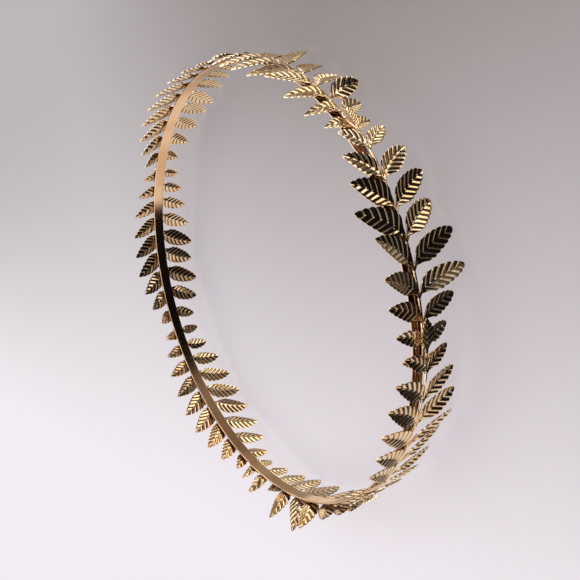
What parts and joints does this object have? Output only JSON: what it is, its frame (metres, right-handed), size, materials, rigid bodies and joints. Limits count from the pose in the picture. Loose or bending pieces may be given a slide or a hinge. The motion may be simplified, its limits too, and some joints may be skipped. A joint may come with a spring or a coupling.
{
  "type": "laurel wreath crown",
  "caption": "Open hoop crown: a narrow flat metal band with stamped laurel leaf sprays laid end to end round its outer face.",
  "frame": {"origin": "middle of the head opening, on the crown's axis, halfway across the band", "axes": "+Z along the crown's axis, up as it lies on a surface; +X and +Y in the plane of the band"},
  "size_m": [0.1895, 0.1901, 0.0336],
  "materials": {
    "band_metal": "polished, gold coloured",
    "spray_metal": "stamped and polished, gold coloured"
  },
  "bodies": {
    "root": {"band": "band_metal", "spray_1": "spray_metal", "spray_2": "spray_metal", "spray_3": "spray_metal", "spray_4": "spray_metal", "spray_5": "spray_metal", "spray_6": "spray_metal", "spray_7": "spray_metal"}
  },
  "joints": []
}
